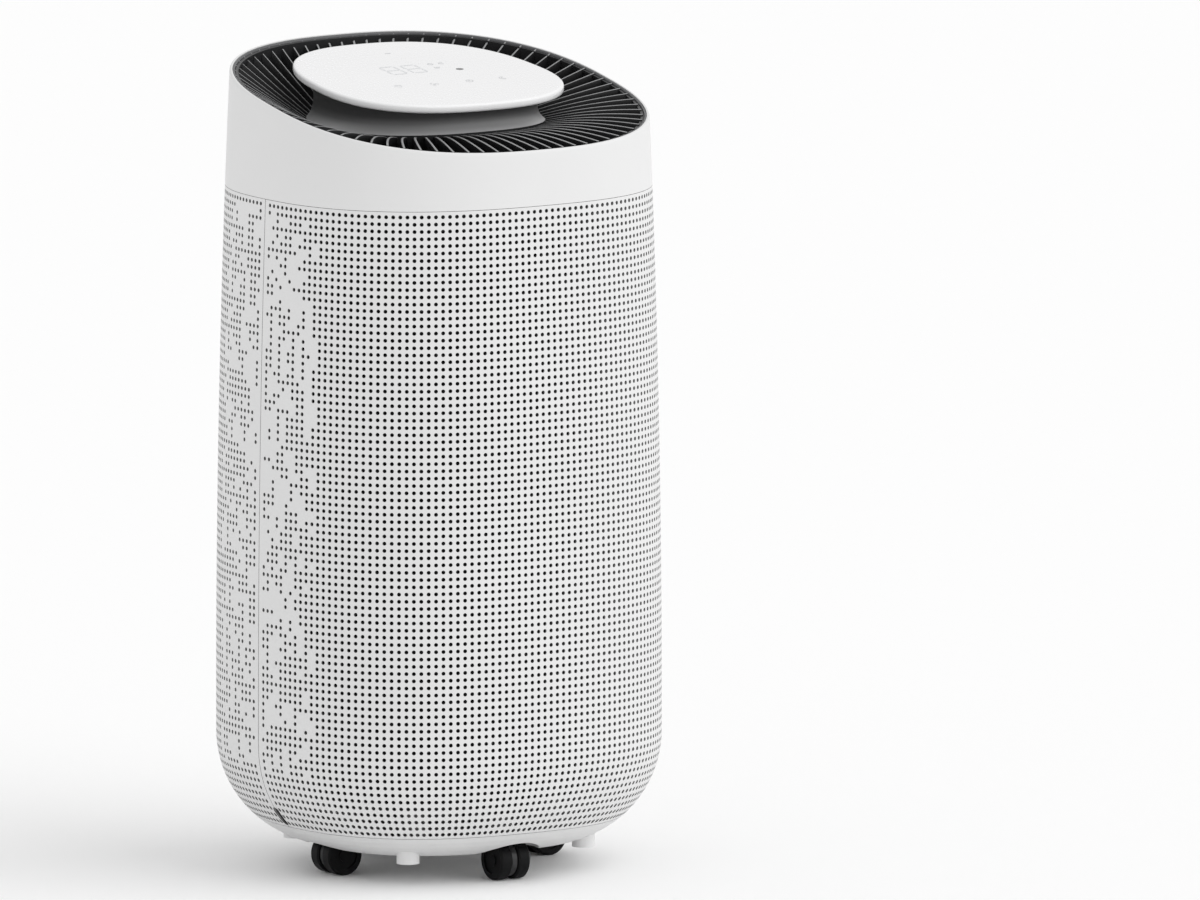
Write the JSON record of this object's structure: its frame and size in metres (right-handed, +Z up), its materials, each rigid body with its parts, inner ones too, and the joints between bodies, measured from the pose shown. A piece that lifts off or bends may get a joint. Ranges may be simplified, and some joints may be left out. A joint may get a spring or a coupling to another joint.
{
  "type": "air purifier",
  "caption": "Free-standing tower air purifier with perforated half-panels, a swept outlet grille, a control pod on top and twin-wheel casters",
  "frame": {"origin": "on the floor under the middle of the body", "axes": "+Z up; the front half-panel, the lower side of the slanted mouth and the keys face -Y; +X is to the right of somebody facing away along +Y"},
  "size_m": [0.3001, 0.2804, 0.5718],
  "materials": {
    "white_body": "fine matt white moulding",
    "white_gloss": "smooth white cover",
    "grey_pedestal": "light grey-white moulding",
    "ring_satin": "dark satin ring",
    "black_plastic": "black moulding",
    "dark_window": "dark window",
    "wheel_black": "black wheel",
    "steel": "plain steel",
    "brass": "plated pins",
    "frame_grey": "grey inner moulding",
    "filter_frame": "dark filter frame",
    "filter_media": "white pleated media",
    "foam": "grey foam",
    "mesh_dark": "dark woven mesh",
    "pcb": "circuit board",
    "motor_metal": "motor can",
    "fabric_tab": "woven pull tab"
  },
  "bodies": {
    "main": {"base_tray": "white_body", "foot_posts": "white_body", "top_collar": "white_body", "pod_cover": "white_gloss", "pod_pedestal": "grey_pedestal", "rim_ring": "ring_satin", "outlet_grille": "black_plastic", "power_inlet": "black_plastic", "panel_catches": "black_plastic", "panel_switch": "black_plastic", "board_cover": "black_plastic", "air_sensor": "black_plastic", "sensor_window": "dark_window", "inlet_pins": "brass", "caster_bushes": "frame_grey", "chassis": "frame_grey", "fan_shroud": "frame_grey", "bellmouth_ring": "frame_grey", "motor_bracket": "frame_grey", "chassis_screws": "steel", "shroud_screws": "steel", "bracket_screws": "steel", "collar_screws": "steel", "motor_body": "motor_metal", "main_board": "pcb", "display_board": "pcb", "board_components": "pcb"},
    "caster_front": {"caster_front_fork": "black_plastic"},
    "wheels_front": {"caster_front_axle": "steel", "caster_front_wheel_a": "wheel_black", "caster_front_wheel_b": "wheel_black"},
    "caster_rear": {"caster_rear_fork": "black_plastic"},
    "wheels_rear": {"caster_rear_axle": "steel", "caster_rear_wheel_a": "wheel_black", "caster_rear_wheel_b": "wheel_black"},
    "caster_left": {"caster_left_fork": "black_plastic"},
    "wheels_left": {"caster_left_axle": "steel", "caster_left_wheel_a": "wheel_black", "caster_left_wheel_b": "wheel_black"},
    "caster_right": {"caster_right_fork": "black_plastic"},
    "wheels_right": {"caster_right_axle": "steel", "caster_right_wheel_a": "wheel_black", "caster_right_wheel_b": "wheel_black"},
    "front_panel_body": {"front_panel": "white_body", "front_prefilter": "mesh_dark"},
    "front_filter_body": {"front_filter_frame": "filter_frame", "front_filter_media": "filter_media", "front_filter_seal": "foam", "front_filter_tab": "fabric_tab"},
    "rear_panel_body": {"rear_panel": "white_body", "rear_prefilter": "mesh_dark"},
    "rear_filter_body": {"rear_filter_frame": "filter_frame", "rear_filter_media": "filter_media", "rear_filter_seal": "foam", "rear_filter_tab": "fabric_tab"},
    "rotor": {"impeller": "frame_grey", "motor_shaft": "steel", "impeller_nut": "steel"}
  },
  "joints": [
    {"name": "caster_front_swivel", "type": "hinge", "parent": "main", "child": "caster_front", "pos_m": [0, -0.078, 0.04], "axis": [0, 0, 1], "continuous": true},
    {"name": "caster_front_roll", "type": "hinge", "parent": "caster_front", "child": "wheels_front", "pos_m": [0, -0.0855, 0.014], "axis": [1, 0, 0], "continuous": true},
    {"name": "caster_rear_swivel", "type": "hinge", "parent": "main", "child": "caster_rear", "pos_m": [0, 0.078, 0.04], "axis": [0, 0, 1], "continuous": true},
    {"name": "caster_rear_roll", "type": "hinge", "parent": "caster_rear", "child": "wheels_rear", "pos_m": [0, 0.0855, 0.014], "axis": [1, 0, 0], "continuous": true},
    {"name": "caster_left_swivel", "type": "hinge", "parent": "main", "child": "caster_left", "pos_m": [-0.078, 0, 0.04], "axis": [0, 0, 1], "continuous": true},
    {"name": "caster_left_roll", "type": "hinge", "parent": "caster_left", "child": "wheels_left", "pos_m": [-0.0855, 0, 0.014], "axis": [0, 1, 0], "continuous": true},
    {"name": "caster_right_swivel", "type": "hinge", "parent": "main", "child": "caster_right", "pos_m": [0.078, 0, 0.04], "axis": [0, 0, 1], "continuous": true},
    {"name": "caster_right_roll", "type": "hinge", "parent": "caster_right", "child": "wheels_right", "pos_m": [0.0855, 0, 0.014], "axis": [0, 1, 0], "continuous": true},
    {"name": "front_panel_pull", "type": "slide", "parent": "main", "child": "front_panel_body", "axis": [0, -1, 0], "range_m": [0, 0.24]},
    {"name": "front_filter_pull", "type": "slide", "parent": "main", "child": "front_filter_body", "axis": [0, -1, 0], "range_m": [0, 0.12]},
    {"name": "rear_panel_pull", "type": "slide", "parent": "main", "child": "rear_panel_body", "axis": [0, 1, 0], "range_m": [0, 0.24]},
    {"name": "rear_filter_pull", "type": "slide", "parent": "main", "child": "rear_filter_body", "axis": [0, 1, 0], "range_m": [0, 0.12]},
    {"name": "impeller_spin", "type": "hinge", "parent": "main", "child": "rotor", "pos_m": [0, 0, 0.37], "axis": [0, 0, 1], "continuous": true}
  ],
  "couplings": [
    {"joint": "front_filter_pull", "follows": "front_panel_pull", "ratio": 0.5},
    {"joint": "rear_filter_pull", "follows": "rear_panel_pull", "ratio": 0.5}
  ]
}
